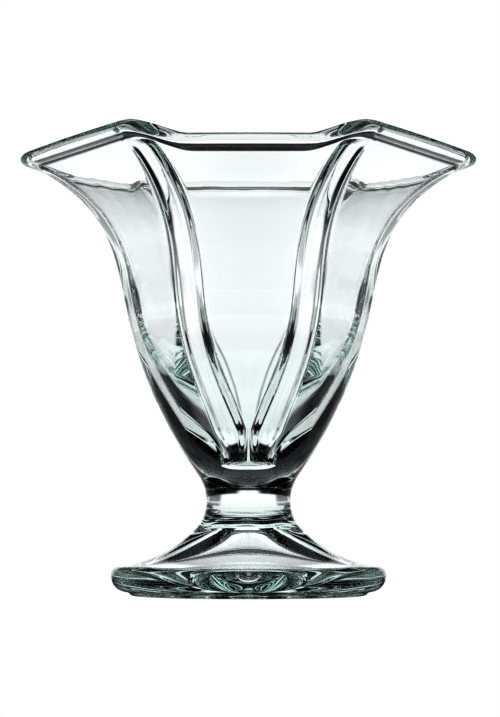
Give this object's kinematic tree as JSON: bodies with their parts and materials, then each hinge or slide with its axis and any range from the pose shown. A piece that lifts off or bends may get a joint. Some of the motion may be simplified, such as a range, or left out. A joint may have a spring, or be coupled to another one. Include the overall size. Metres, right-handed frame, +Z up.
{
  "type": "parfait glass",
  "caption": "Clear pressed-glass parfait dish: a flared hexagonal bowl with six inside ribs and a swollen lip, on a short waisted stem and a round hollow foot.",
  "frame": {"origin": "on the table, under the centre of the foot", "axes": "+Z up along the stem, X through two opposite corners of the bowl, -Y towards the lowered side that faces the viewer in the picture"},
  "size_m": [0.1216, 0.1071, 0.1179],
  "materials": {
    "glass": "clear, fire polished, with a faint green-blue tint in thick glass"
  },
  "bodies": {
    "root": {"bowl": "glass", "stem": "glass", "foot": "glass"}
  },
  "joints": []
}
